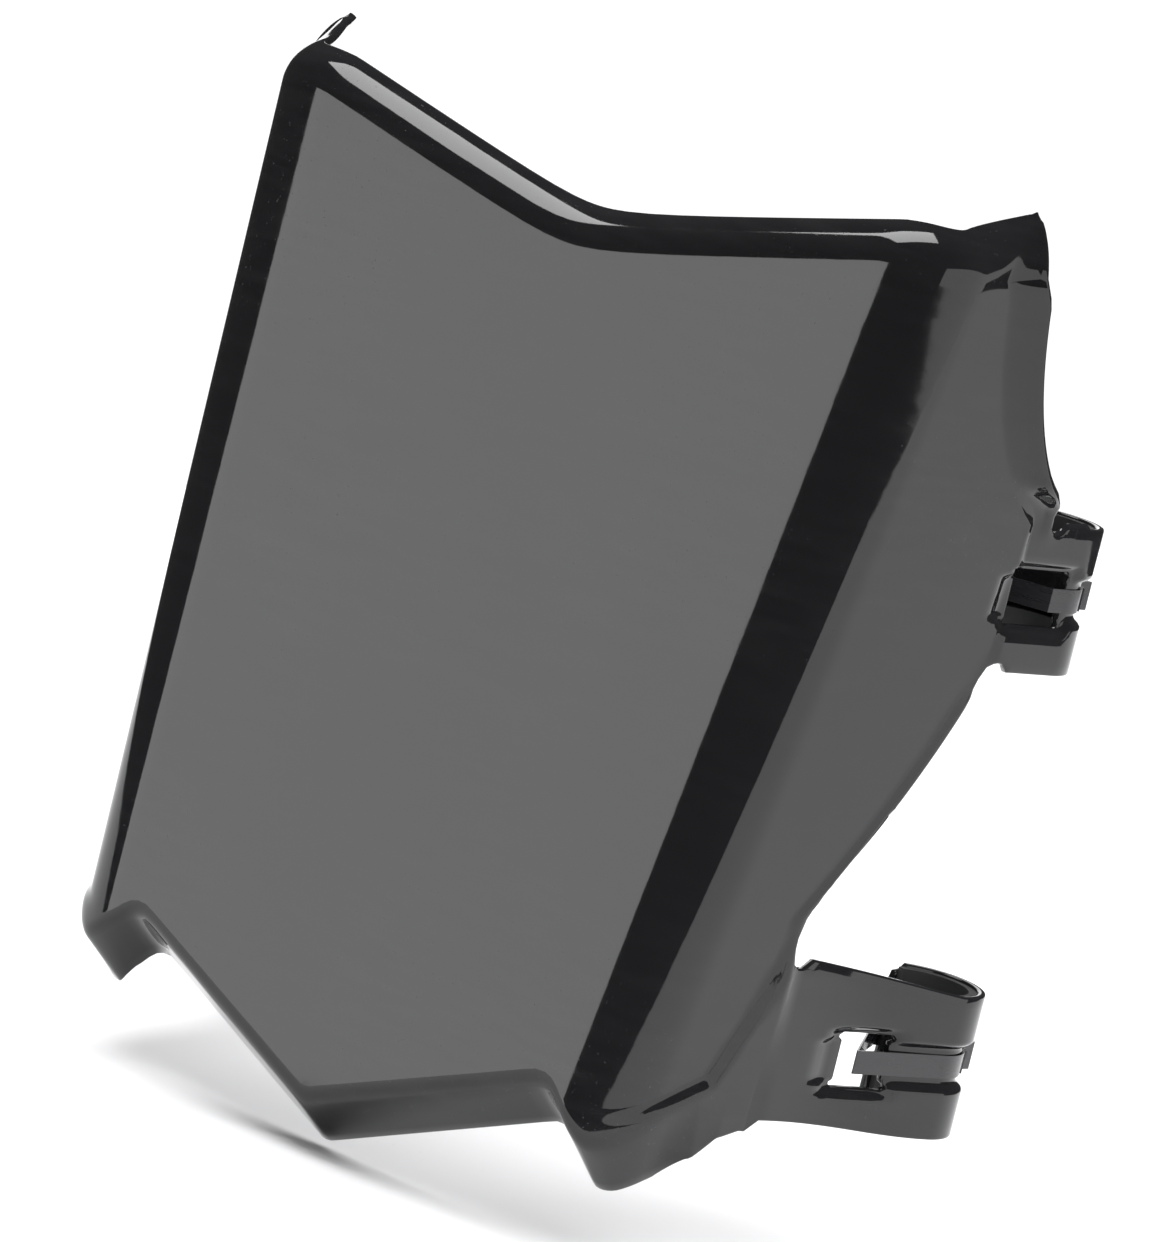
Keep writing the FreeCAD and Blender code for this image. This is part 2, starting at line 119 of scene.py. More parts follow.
# %% Camera
EYE = Vector((1.225, -1.727, 0.541))
TARGET = Vector((0.0254, -0.0321, 0.2114))
LEAN = math.radians(13.52)
LENS = 164.4
camera_data = bpy.data.cameras.new("camera")
camera_data.lens = LENS
camera_data.clip_end = 100.0
camera = bpy.data.objects.new("camera", camera_data)
bpy.context.scene.collection.objects.link(camera)
ahead = (TARGET - EYE).normalized()
level_right = ahead.cross(Vector((0, 0, 1))).normalized()
level_up = level_right.cross(ahead)
right = level_right * math.cos(LEAN) + level_up * math.sin(LEAN)
up = level_up * math.cos(LEAN) - level_right * math.sin(LEAN)
turn = Matrix((right, up, -ahead)).transposed().to_4x4()
camera.matrix_world = Matrix.Translation(EYE) @ turn
bpy.context.scene.camera = camera
bpy.context.scene.view_settings.view_transform = "Standard"
print("camera", round((TARGET - EYE).length, 3), "m from the object")

# %% Floor
deselect_all()
bpy.ops.mesh.primitive_plane_add(size=1.0, location=(0.55, 0.75, -0.0005))
floor = bpy.context.object
floor.name = "floor"
floor.scale = (3.2, 2.6, 1.0)
bpy.ops.object.transform_apply(location=True, rotation=True, scale=True)


# %% Lights
def aim(light, place, target):
    light.location = place
    light.rotation_euler = (Vector(target) - Vector(place)).to_track_quat("-Z", "Y").to_euler()


def soft_box(name, place, target, width, height, radiance):
    """A flat lamp that shows in the gloss as a clean rectangle of the given brightness."""
    lamp = bpy.data.lights.new(name, "AREA")
    lamp.shape = "RECTANGLE"
    lamp.size = width
    lamp.size_y = height
    lamp.energy = radiance * math.pi * width * height
    thing = bpy.data.objects.new(name, lamp)
    bpy.context.scene.collection.objects.link(thing)
    aim(thing, place, target)
    return thing


sun_data = bpy.data.lights.new("sky_sun", "SUN")
sun_data.energy = 4.6
sun_data.angle = math.radians(85)
sun = bpy.data.objects.new("sky_sun", sun_data)
bpy.context.scene.collection.objects.link(sun)
aim(sun, (0.45, 0.35, 2.2), (0, 0, 0))
sun.visible_glossy = False
CENTRE = (0.0, -0.05, 0.2)
BOX_AWAY = 2.4
BOX_TURN = math.radians(-36.5)
face_box_place = (BOX_AWAY * math.sin(BOX_TURN), -BOX_AWAY * math.cos(BOX_TURN), 0.26)
soft_box("face_box", face_box_place, CENTRE, 0.95, 1.1, 3.0)
soft_box("roll_box", (-0.75, -0.45, 1.9), CENTRE, 0.8, 0.9, 7.0)
soft_box("rear_box", (-1.6, 1.9, 1.0), CENTRE, 1.2, 1.2, 2.0)
WALL_TILT = math.radians(-10)
side_wall = soft_box("side_wall", (2.32, -0.62, 0.80), (0.0, 0.0, 0.80), 5.4, 1.4, 1.5)
tilted = side_wall.rotation_euler.to_quaternion() @ Quaternion((0, 0, 1), WALL_TILT)
side_wall.rotation_euler = tilted.to_euler()

world = bpy.data.worlds.new("studio")
bpy.context.scene.world = world
world.use_nodes = True
nodes, links = world.node_tree.nodes, world.node_tree.links
nodes.clear()
rays = nodes.new("ShaderNodeLightPath")
dim = nodes.new("ShaderNodeBackground")
dim.inputs["Color"].default_value = (1.0, 1.0, 1.0, 1.0)
dim.inputs["Strength"].default_value = 0.05
pale = nodes.new("ShaderNodeBackground")
pale.inputs["Color"].default_value = (1.0, 1.0, 1.0, 1.0)
pale.inputs["Strength"].default_value = 1.1
blend = nodes.new("ShaderNodeMixShader")
sky = nodes.new("ShaderNodeOutputWorld")
links.new(rays.outputs["Is Camera Ray"], blend.inputs[0])
links.new(dim.outputs[0], blend.inputs[1])
links.new(pale.outputs[0], blend.inputs[2])
links.new(blend.outputs[0], sky.inputs["Surface"])

# %% [markdown]
# ## The moulded sheet
# The real screen is one sheet of even thickness, thermoformed over a mould. It could be cut from solid
# blocks, but the blocks' joints would spoil the reflections. So it is made as the factory makes it: a flat
# grid is the blank, each grid point is then pressed to its place on the mould, the waste is cut off, and
# the wall gets its thickness at the end. The columns run across the sheet, from the mid-plane over the
# face, the fold and the wing to the hooks. The rows run up it, from the turned-back foot to the rolled top.

# %% Mould: the plan of the face, fold and wing
FACE_FORWARD = 160.0
FACE_LEAN = math.tan(math.radians(7.2))
FOOT_Z, TOP_Z = -110.0, 217.0
FOOT_HALF, TOP_HALF = 133.0, 163.0
SPLAY = math.radians(9.0)
WING_ALONG = 60.0
FACE_SIDE = (23.0, 32.0)
WING_SIDE = (23.0, 18.0)
BEND_ARC = 0.83


def face_y(z):
    return -FACE_FORWARD + (z - FOOT_Z) * FACE_LEAN


def fold_half(z):
    return FOOT_HALF + (z - FOOT_Z) / (TOP_Z - FOOT_Z) * (TOP_HALF - FOOT_HALF)


def bend_sides(z):
    """How far the rounded fold reaches over the face and over the wing, from foot to top."""
    share = (z - FOOT_Z) / (TOP_Z - FOOT_Z)
    return [first + share * (last - first) for first, last in (FACE_SIDE, WING_SIDE)]


def wing_x(y, z):
    return fold_half(z) + (y - face_y(z)) * math.tan(SPLAY)


def bend_point(z, share):
    """Point and inward direction on the rounded fold, share 0 at the face and 1 at the wing."""
    face_side, wing_side = bend_sides(z)
    x = fold_half(z) - (1 - share) ** 2 * face_side + share**2 * wing_side * math.sin(SPLAY)
    y = face_y(z) + share**2 * wing_side * math.cos(SPLAY)
    run = (1 - share) * face_side + share * wing_side * math.sin(SPLAY)
    back = share * wing_side * math.cos(SPLAY)
    length = math.hypot(run, back)
    return x, y, (-back / length, run / length)


# %% Rows of the blank
LAND_ROWS = [0, 3.2, 5.6, 6.6, 7.6, 8.6, 9.6, 10.6, 11.6, 12.6, 13.6, 14.6, 17, 20, 24, 28]
BAND_ROWS = [-value for value in reversed(LAND_ROWS[1:])] + LAND_ROWS
HALF_LAND, PLAIN_LAND = 28.0, 14.6
FOOT_LEVEL = LEVELS["lower"] - PLAIN_LAND
LIP_FOOT = LEVELS["upper"] + HALF_LAND
WING_TOP = 206.0
lower_rows = [LEVELS["lower"] + value for value in BAND_ROWS if value >= -PLAIN_LAND]
notch_rows = list(np.linspace(lower_rows[-1], LEVELS["upper"] - HALF_LAND, 32)[1:-1])
upper_rows = [LEVELS["upper"] + value for value in BAND_ROWS]
lip_rows = list(np.linspace(LIP_FOOT, WING_TOP, 24)[1:])
main_rows = lower_rows + notch_rows + upper_rows + lip_rows
FOOT_FLAT, FOOT_BEND = 5, 5
ROLL_BEND, ROLL_FLAT = 10, 3
foot_count = FOOT_FLAT + FOOT_BEND
row_count = foot_count + len(main_rows) + ROLL_BEND + ROLL_FLAT
first_main, last_main = foot_count, foot_count + len(main_rows) - 1
print(row_count, "rows up the sheet")

# %% Columns of the blank
FACE_SHARES = [0, 0.02, 0.05, 0.1, 0.18, 0.28, 0.38, 0.48, 0.58, 0.68, 0.76, 0.82, 0.87, 0.91, 0.94, 0.97]
BEND_STEPS, WING_STEPS, LIP_STEPS, WEB_STEPS, HOOK_STEPS = 18, 36, 8, 20, 44
bend_first = len(FACE_SHARES)
wing_first = bend_first + BEND_STEPS
wing_last = wing_first + WING_STEPS
lip_last = wing_last + LIP_STEPS
web_last = wing_last + WEB_STEPS
hook_last = web_last + HOOK_STEPS
column_count = hook_last + 1
print(column_count, "columns across half the sheet")

# %% [markdown]
# The outline could be traced with many points, but a traced line has no dimension that a maker can change.
# So each edge is a short formula with named sizes: the top dips in a rounded V, and the wing's rear edge
# slants along the notch, stands upright behind the upper cradle and runs forward again along the lip. Only
# the foot, with its V, shoulders and ears, is a list of corners, which are softened afterwards.

# %% Foot, top and rear edge
FOOT_LINE = [
    (0, -152.5), (97, -111), (104, -112), (115, -123), (123, -127.5), (131, -124), (146, -113), (171, -104),
    (196, FOOT_LEVEL - 1), (400, FOOT_LEVEL - 1),
]
FOOT_TURN = [
    (0, (0, 22.5, -17.5)), (96, (0, 22.5, -17.5)), (112, (-1, 23, -18.5)), (125, (-5, 23, -20)),
    (146, (-7, 14, -25)), (171, (-1, 5, -22)), (190, (0, 0, -12)), (204, (0, 0, -8.4)), (400, (0, 0, -8.4)),
]
DIP_LEVEL, DIP_SLOPE, DIP_ROUND = 175.5, 0.24, 18.0
SHOULDER_LEVEL, SHOULDER_SLOPE, SHOULDER_HALF = 203.5, 0.03, 170.0
ARM_FRONT, ARM_CORNER = -93.0, -34.0
CRADLE_FRONT, CRADLE_FOOT = -38.0, LEVELS["upper"] - HALF_LAND
NOTCH_BOW = 5.0
LIP_HEAD, LIP_FORWARD, LIP_BEND = 200.0, 50.0, 0.66
HORN_FORWARD = 4.0
ARM_TOP = 12.5
FOOT_SOFT, TOP_SOFT = 3.0, 6.0


def foot_line(x):
    return table(x, FOOT_LINE)


def top_line(x):
    """The dip of the top: a V with a rounded bottom that runs out on the nearly level shoulders."""
    dip = DIP_LEVEL + DIP_SLOPE * (np.hypot(x, DIP_ROUND) - DIP_ROUND)
    return np.minimum(dip, SHOULDER_LEVEL + SHOULDER_SLOPE * np.maximum(0.0, x - SHOULDER_HALF))


def soften_line(x, line, reach):
    """A line's value with its corners softened over a short distance."""
    steps = np.linspace(-reach, reach, 9)
    return sum(line(np.abs(x + step)) for step in steps) / len(steps)


def share_of(value, start, end):
    """How far a value is on its way from start to end, held between 0 and 1."""
    return min(1.0, max(0.0, (value - start) / (end - start)))


def rear_edge(z):
    """Depth of the wing's rear edge: a slightly bowed slant at the notch and a hyperbola along the lip."""
    notch = share_of(z, ARM_CORNER, CRADLE_FOOT)
    lip = share_of(z, LIP_FOOT, LIP_HEAD)
    slant = ARM_FRONT + (CRADLE_FRONT - ARM_FRONT) * notch + 4 * NOTCH_BOW * notch * (1 - notch)
    forward = LIP_FORWARD * lip * (1 + LIP_BEND) / (lip + LIP_BEND)
    return slant - forward - HORN_FORWARD * share_of(z, LIP_HEAD, WING_TOP)


def foot_turn(along):
    """The way the foot turns back, as a direction and length at each place across the sheet."""
    return np.array([table(along, [(place, turn[axis]) for place, turn in FOOT_TURN]) for axis in range(3)])


# %% The base surface, without its channels and steps
ROLL_RADIUS, ROLL_END, ROLL_TAIL = 20.0, math.radians(28), 2.5
FOOT_ROUND = 4.5
LIP_OUT, LIP_BACK, LIP_ROUND, LIP_BLEND = 11.0, 11.0, 5.0, 16.0
MITRE_BACK, MITRE_TAPER, HORN_TAPER, HORN_RISE, ROLL_FADE = 9.0, 0.5, 0.75, 0.3, 0.6
ARM_SINK = 5.0


def column_place(column, z):
    """Plan point on face, fold or wing start, with inward direction and distance from the mid-plane."""
    face_side, wing_side = bend_sides(z)
    flat = fold_half(z) - face_side
    if column < bend_first:
        share = FACE_SHARES[column]
        return share * flat, face_y(z), (0.0, 1.0), share * flat
    share = (column - bend_first) / BEND_STEPS
    x, y, inward = bend_point(z, share)
    return x, y, inward, flat + share * BEND_ARC * (face_side + wing_side)


def web_curve(level_name, share):
    """The web from the wing to the round of the hook, leaving both without a kink."""
    z = LEVELS[level_name]
    y0 = rear_edge(z)
    start = np.array([wing_x(y0, z), y0])
    reach = start - np.array([TUBE_X, 0.0])
    distance = math.hypot(*reach)
    angle = math.atan2(reach[1], reach[0]) + math.acos(LAND_RADIUS / distance)
    end = np.array([TUBE_X + LAND_RADIUS * math.cos(angle), LAND_RADIUS * math.sin(angle)])
    length = np.linalg.norm(end - start)
    away = np.array([math.sin(SPLAY), math.cos(SPLAY)]) * length
    arrive = np.array([-math.sin(angle), math.cos(angle)]) * length
    s = share
    point = (2 * s**3 - 3 * s**2 + 1) * start + (s**3 - 2 * s**2 + s) * away
    point = point + (3 * s**2 - 2 * s**3) * end + (s**3 - s**2) * arrive
    return point, angle, length


def lip_curve(share):
    """The rear lip's way outboard and back from the wing's edge."""
    control = np.array([math.sin(SPLAY), math.cos(SPLAY)]) * LIP_ROUND
    end = np.array([LIP_OUT, LIP_BACK])
    return 2 * share * (1 - share) * control + share**2 * end


def rear_level(row_z):
    """Height of a row where it reaches the wing's rear edge: the arm is taller there than its cradle."""
    offset = row_z - LEVELS["lower"]
    if offset <= PLAIN_LAND:
        return row_z
    if offset <= HALF_LAND:
        return row_z + ARM_TOP * (offset - PLAIN_LAND) / (HALF_LAND - PLAIN_LAND)
    if row_z >= LEVELS["upper"] - HALF_LAND:
        return row_z
    share = (row_z - LEVELS["lower"] - HALF_LAND) / (CRADLE_PITCH - 2 * HALF_LAND)
    return row_z + ARM_TOP * (1 - share)


def main_point(column, row):
    """Point of the sheet on a main row."""
    row_z = main_rows[row - first_main]
    share = (row_z - FOOT_LEVEL) / (WING_TOP - FOOT_LEVEL)
    inner = min(column, wing_last)
    wing_share = max(0.0, (inner - wing_first) / WING_STEPS)
    start = min(inner, wing_first)
    z = row_z
    for _ in range(3):
        x, y, _, along = column_place(start, z)
        along += wing_share * WING_ALONG
        low = soften_line(along, foot_line, FOOT_SOFT) + FOOT_ROUND
        high = soften_line(along, top_line, TOP_SOFT)
        z = (1 - wing_share) * (low + share * (high - low)) + wing_share * rear_level(row_z)
    if column <= wing_first:
        return np.array([x, y, z])
    y = (1 - wing_share) * y + wing_share * rear_edge(rear_level(row_z))
    if column <= wing_last:
        return np.array([wing_x(y, z), y, z])
    edge = np.array([wing_x(y, z), y, z])
    level_name = "upper" if row_z > 0 else "lower"
    if column > web_last:
        angle = web_curve(level_name, 1.0)[1]
        turn = angle + (math.radians(WRAP_END) - angle) * (column - web_last) / HOOK_STEPS
        return np.array([TUBE_X + LAND_RADIUS * math.cos(turn), LAND_RADIUS * math.sin(turn), row_z])
    web_share = (column - wing_last) / WEB_STEPS
    spot = web_curve(level_name, web_share)[0]
    web_z = (1 - web_share) * rear_level(row_z) + web_share * row_z
    web = np.array([spot[0], spot[1], web_z])
    if row_z <= LIP_FOOT:
        return web
    out, back = lip_curve((column - wing_last) / LIP_STEPS)
    lip = edge + np.array([out, back, 0.0])
    mix = ease((row_z - LIP_FOOT) / LIP_BLEND)
    return (1 - mix) * (web + np.array([0, 0, row_z - web[2]])) + mix * lip


def side_way(column, z):
    """Inward direction and distance from the mid-plane of a column, on any part of the sheet."""
    start = min(column, wing_first)
    _, _, inward, along = column_place(start, z)
    wing_share = max(0.0, (min(column, wing_last) - wing_first) / WING_STEPS)
    return np.array([inward[0], inward[1], 0.0]), along + wing_share * WING_ALONG


def foot_point(column, row):
    """Point of the foot: round the bend and back along the turned edge, or straight down on the arm."""
    base = main_point(column, first_main)
    if column > wing_last:
        depth = (foot_count - row) / foot_count
        sink = ARM_SINK * ease(min(1.0, (column - wing_last) / WEB_STEPS))
        return base + np.array([0, 0, -(HALF_LAND - PLAIN_LAND - ARM_SINK + sink) * depth])
    _, along = side_way(column, base[2])
    turn = foot_turn(along)
    corner = base - np.array([0, face_y(1) - face_y(0), 1.0]) * FOOT_ROUND
    length = np.linalg.norm(turn)
    bend_end = corner + turn / length * FOOT_ROUND
    if row >= FOOT_FLAT:
        share = (foot_count - row) / FOOT_BEND
        return (1 - share) ** 2 * base + 2 * share * (1 - share) * corner + share**2 * bend_end
    share = (FOOT_FLAT - row) / FOOT_FLAT
    return bend_end + share * (corner + turn - bend_end)


def roll_point(column, row):
    """Point of the rolled top: an arc turned inward, then a short edge; the rear lip becomes a horn."""
    base = main_point(min(column, wing_last), last_main)
    inward, _ = side_way(column, base[2])
    start = math.pi / 2 - math.atan(FACE_LEAN) * abs(inward[1])
    step = row - last_main
    angle = start + (ROLL_END - start) * min(step, ROLL_BEND) / ROLL_BEND
    into = ROLL_RADIUS * (math.sin(start) - math.sin(angle))
    rise = ROLL_RADIUS * (math.cos(angle) - math.cos(start))
    tail = ROLL_TAIL * max(0, step - ROLL_BEND) / ROLL_FLAT
    into += tail * math.cos(ROLL_END)
    rise += tail * math.sin(ROLL_END)
    share = min(step, ROLL_BEND) / ROLL_BEND
    wing_share = min(1.0, max(0.0, (column - wing_first) / WING_STEPS))
    into *= 1 - ROLL_FADE * wing_share**2
    rise *= 1 + HORN_RISE * wing_share**2
    point = base + inward * into + np.array([0, MITRE_BACK * share * wing_share**2, rise])
    if column > wing_last:
        out, back = lip_curve((column - wing_last) / LIP_STEPS)
        away = np.array([0, 0, math.cos(angle)]) - inward * math.sin(angle)
        point += out * (1 - HORN_TAPER * share) * away + np.array([0, back * (1 - MITRE_TAPER * share), 0])
    return point


base_points = np.zeros((column_count, row_count, 3))
for column in range(column_count):
    for row in range(row_count):
        if row < first_main:
            base_points[column, row] = foot_point(column, row)
        elif row <= last_main:
            base_points[column, row] = main_point(column, row)
        else:
            base_points[column, row] = roll_point(column, row)
print("base surface of", base_points.shape[0] * base_points.shape[1], "points")


# %% Wall direction at every point
def wall_directions(points):
    """Outward direction of the base surface, from its neighbours along the rows and the columns."""
    across = np.gradient(points, axis=0)
    upward = np.gradient(points, axis=1)
    across[0] = (1.0, 0.0, 0.0)
    normal = np.cross(across, upward)
    normal /= np.maximum(np.linalg.norm(normal, axis=2, keepdims=True), 1e-9)
    return normal


outward = wall_directions(base_points)
print("face looks along", np.round(outward[2, first_main + 40], 2))

# %% [markdown]
# ## Channels, steps and rims
# What makes the part look moulded is the small relief: the strap channel round each hook, the scoop where
# the channel runs out beyond its window, the step where the arm stands proud of the wing, and the rim along
# the notch. All of them are pushed in or out along the wall direction, so the wall keeps its thickness.

# %% Relief
CHANNEL_FLOOR, CHANNEL_SLOPE, CHANNEL_DEPTH = 6.5, 3.2, 3.2
WINDOW_FLOOR, WINDOW_HALF = 11.2, 10.7
WINDOWS = {"upper": (-31.0, -1.5), "lower": (-51.0, -28.0)}
SCOOP_RUN = 10.0
STEP_OUT, STEP_RUN = 3.2, 7.0
RIM_OUT, RIM_RUN = 1.5, 5.0
RIM_LOW, RIM_HIGH = -46.0, 58.0
ARM_REACH, ARM_FADE_Z, ARM_FADE = 26.0, -50.0, 8.0
CREASE = [(-190, -131), (-117, -99), (-94, -50), (-94, -40)]


def along_hook(level_name, column, point):
    """Distance along the strap's path from where the hook's round begins, negative towards the face."""
    _, angle, length = web_curve(level_name, 1.0)
    if column > web_last:
        turn = (math.radians(WRAP_END) - angle) * (column - web_last) / HOOK_STEPS
        return turn * LAND_RADIUS
    tangent_y = LAND_RADIUS * math.sin(angle)
    return (point[1] - tangent_y) / math.cos(angle if column > wing_last else SPLAY)


def channel_depth(level_name, column, point):
    """How deep the strap channel is at a point: wider round the window, fading out in a scoop beyond it."""
    place = along_hook(level_name, column, point)
    start, end = WINDOWS[level_name]
    wide = ease((place - start + 6) / 4) * ease((end + 6 - place) / 5)
    half = CHANNEL_FLOOR + (WINDOW_FLOOR - CHANNEL_FLOOR) * wide
    offset = abs(point[2] - LEVELS[level_name])
    across = 1 - ease((offset - half) / CHANNEL_SLOPE)
    run_out = ease((place - start + 4 + SCOOP_RUN) / SCOOP_RUN)
    return CHANNEL_DEPTH * across * run_out


def beyond_crease(y, z):
    """Distance from the crease in side view, positive on the side of the arm and the strip."""
    nearest = (1e9, 0.0)
    for (y0, z0), (y1, z1) in zip(CREASE, CREASE[1:]):
        run, rise = y1 - y0, z1 - z0
        share = min(1.0, max(0.0, ((y - y0) * run + (z - z0) * rise) / (run * run + rise * rise)))
        distance = math.hypot(y - y0 - share * run, z - z0 - share * rise)
        side = rise * (y - y0) - run * (z - z0)
        nearest = min(nearest, (distance, math.copysign(distance, side)))
    return nearest[1]


def arm_step(column, point):
    """How far the arm and the side strip stand proud of the wing."""
    if column <= bend_first or point[2] > LEVELS["lower"] + HALF_LAND + ARM_REACH:
        return 0.0
    if column > wing_last:
        return STEP_OUT * (1 - ease((column - wing_last) / (0.6 * WEB_STEPS)))
    step = ease((beyond_crease(point[1], point[2]) + STEP_RUN / 2) / STEP_RUN)
    step *= ease((column - bend_first - 4) / (BEND_STEPS - 4))
    step *= 1 - ease((point[2] - ARM_FADE_Z) / ARM_FADE)
    return STEP_OUT * step


def notch_rim(column, row, point):
    """A small rim along the wing's edge between the cradles."""
    if not wing_first < column <= wing_last or not RIM_LOW < point[2] < RIM_HIGH:
        return 0.0
    edge = base_points[wing_last, row]
    distance = math.hypot(edge[0] - point[0], edge[1] - point[1]) * 0.85
    fade = ease((point[2] - RIM_LOW) / 10) * ease((RIM_HIGH - point[2]) / 12)
    return RIM_OUT * fade * (1 - ease((distance - 1) / RIM_RUN))


relief = np.zeros((column_count, row_count))
for column in range(column_count):
    for row in range(row_count):
        point = base_points[column, row]
        depth = 0.0
        if column > wing_first:
            for level_name in LEVELS:
                if abs(point[2] - LEVELS[level_name]) < HALF_LAND:
                    depth = max(depth, channel_depth(level_name, column, point))
        relief[column, row] = arm_step(column, point) + notch_rim(column, row, point) - depth
outer_points = base_points + outward * relief[:, :, None]
print("relief from", round(relief.min(), 2), "to", round(relief.max(), 2), "mm")

# %% [markdown]
# ## Pressing the blank
# A grid is added with one square for each pair of rows and columns. Its points are then moved to the mould,
# and the direction of the wall is kept with each point as an attribute, because the wall is thickened along
# it later.

# %% The blank, pressed
deselect_all()
bpy.ops.mesh.primitive_grid_add(x_subdivisions=column_count - 1, y_subdivisions=row_count - 1, size=1.0)
shell = bpy.context.object
shell.name = "deflector_shell"
mesh = shell.data
grid = np.zeros(len(mesh.vertices) * 3)
mesh.vertices.foreach_get("co", grid)
grid = grid.reshape(-1, 3)
point_column = np.rint((grid[:, 0] + 0.5) * (column_count - 1)).astype(int)
point_row = np.rint((grid[:, 1] + 0.5) * (row_count - 1)).astype(int)
mesh.vertices.foreach_set("co", to_frame(outer_points[point_column, point_row]).ravel())
directions = mesh.attributes.new("wall_direction", "FLOAT_VECTOR", "POINT")
kept = outward[point_column, point_row]
kept[point_column == 0, 0] = 0.0
directions.data.foreach_set("vector", kept.ravel())
mesh.update()
print("blank has", len(mesh.polygons), "squares")


# %% Cutting off the waste and the windows
def row_at(level):
    """The main row nearest to a level."""
    return first_main + min(range(len(main_rows)), key=lambda index: abs(main_rows[index] - level))


def window_columns(level_name):
    """The columns that a window's two ends fall on."""
    middle = row_at(LEVELS[level_name])
    columns = range(wing_first, column_count)
    places = [along_hook(level_name, column, base_points[column, middle]) for column in columns]
    order = range(len(places))
    ends = [min(order, key=lambda index: abs(places[index] - end)) for end in WINDOWS[level_name]]
    return ends[0] + wing_first, ends[1] + wing_first


def row_level(row):
    return main_rows[min(max(row, first_main), last_main) - first_main]


def is_waste(column, row):
    """True for a square that isn't part of the sheet, named by its lower corner on the mid-plane side."""
    low, high = row_level(row), row_level(row + 1)
    in_lower = high <= LEVELS["lower"] + HALF_LAND + 0.01
    in_upper = low >= LEVELS["upper"] - HALF_LAND - 0.01 and high <= LIP_FOOT + 0.01 and row < last_main
    in_lip = low >= LIP_FOOT - 0.01 and column < lip_last
    if column >= wing_last and not (in_lower or in_upper or in_lip):
        return True
    for level_name, level in LEVELS.items():
        first, last = window_ends[level_name]
        inside = abs(low - level) < WINDOW_HALF and abs(high - level) < WINDOW_HALF
        if inside and first_main <= row < last_main and first <= column < last:
            return True
    return False


window_ends = {level_name: window_columns(level_name) for level_name in LEVELS}
activate(shell)
bpy.ops.object.mode_set(mode="EDIT")
bpy.ops.mesh.select_mode(type="FACE")
bpy.ops.mesh.select_all(action="DESELECT")
edit = bmesh.from_edit_mesh(mesh)
for face in edit.faces:
    corner_column = min(point_column[vertex.index] for vertex in face.verts)
    corner_row = min(point_row[vertex.index] for vertex in face.verts)
    face.select = is_waste(corner_column, corner_row)
bmesh.update_edit_mesh(mesh)
bpy.ops.mesh.delete(type="FACE")
bpy.ops.object.mode_set(mode="OBJECT")
print("sheet keeps", len(mesh.polygons), "squares")

# %% [markdown]
# ## Softening the corners
# A moulded and trimmed sheet has no knife-sharp corners in its outline. The points near each corner are
# selected by distance and smoothed a few times, which rounds the corner within the sheet.


# %% Rounding corners of the outline
def soften(corner, radius, repeat):
    """Smooth the points within radius of a corner, given in working millimetres."""
    centre = Vector(to_frame(corner))
    activate(shell)
    bpy.ops.object.mode_set(mode="EDIT")
    bpy.ops.mesh.select_mode(type="VERT")
    bpy.ops.mesh.select_all(action="DESELECT")
    bm = bmesh.from_edit_mesh(mesh)
    for vertex in bm.verts:
        if (vertex.co - centre).length < radius * MM and vertex.co.x > MM:
            vertex.select = True
    bmesh.update_edit_mesh(mesh)
    bpy.ops.mesh.vertices_smooth(factor=0.5, repeat=repeat)
    bpy.ops.object.mode_set(mode="OBJECT")


arm_top_row = row_at(LEVELS["lower"] + HALF_LAND)
upper_foot_row = row_at(LEVELS["upper"] - HALF_LAND)
lip_foot_row = row_at(LIP_FOOT)
EDGE_ROUND, LIP_FOOT_ROUND, HOOK_ROUND, WINDOW_ROUND, HORN_ROUND = (8, 8), (7, 8), (5, 6), (2.6, 3), (4, 3)
soften(outer_points[wing_last, arm_top_row], *EDGE_ROUND)
soften(outer_points[wing_last, upper_foot_row], *EDGE_ROUND)
soften(outer_points[lip_last, lip_foot_row], *LIP_FOOT_ROUND)
for level_name, level in LEVELS.items():
    for half in (-HALF_LAND, HALF_LAND):
        row = 0 if (level_name, half) == ("lower", -HALF_LAND) else row_at(level + half)
        soften(outer_points[hook_last, row], *HOOK_ROUND)
    for column in window_ends[level_name]:
        for half in (-WINDOW_HALF, WINDOW_HALF):
            soften(outer_points[column, row_at(level + half)], *WINDOW_ROUND)
soften(outer_points[lip_last, row_count - 1], *HORN_ROUND)
print("outline corners rounded")

# %% Both halves, then the wall
EDGE_BREAK = 0.7
activate(shell)
mirror = shell.modifiers.new("mirror", "MIRROR")
mirror.use_axis = (True, False, False)
mirror.merge_threshold = 1e-5
bpy.ops.object.modifier_apply(modifier="mirror")
mesh = shell.data
bpy.ops.object.mode_set(mode="EDIT")
bpy.ops.mesh.select_mode(type="FACE")
bpy.ops.mesh.select_all(action="SELECT")
bpy.ops.mesh.extrude_region_move(TRANSFORM_OT_translate={"value": (0, 0, 0)})
bpy.ops.object.mode_set(mode="OBJECT")
count = len(mesh.vertices)
places, ways, chosen = np.zeros(count * 3), np.zeros(count * 3), np.zeros(count, bool)
mesh.vertices.foreach_get("co", places)
mesh.attributes["wall_direction"].data.foreach_get("vector", ways)
mesh.vertices.foreach_get("select", chosen)
places, ways = places.reshape(-1, 3), ways.reshape(-1, 3)
ways[:, 0] = np.abs(ways[:, 0]) * np.sign(ways[:, 0]) * np.where(places[:, 0] < -1e-6, -1, 1)
places[chosen] -= ways[chosen] * WALL * MM
mesh.vertices.foreach_set("co", places.ravel())
mesh.update()
activate(shell)
bpy.ops.object.mode_set(mode="EDIT")
bpy.ops.mesh.select_all(action="SELECT")
bpy.ops.mesh.normals_make_consistent(inside=False)
bpy.ops.object.mode_set(mode="OBJECT")
rim = shell.modifiers.new("rim", "BEVEL")
rim.width = EDGE_BREAK * MM
rim.segments = 2
rim.limit_method = "ANGLE"
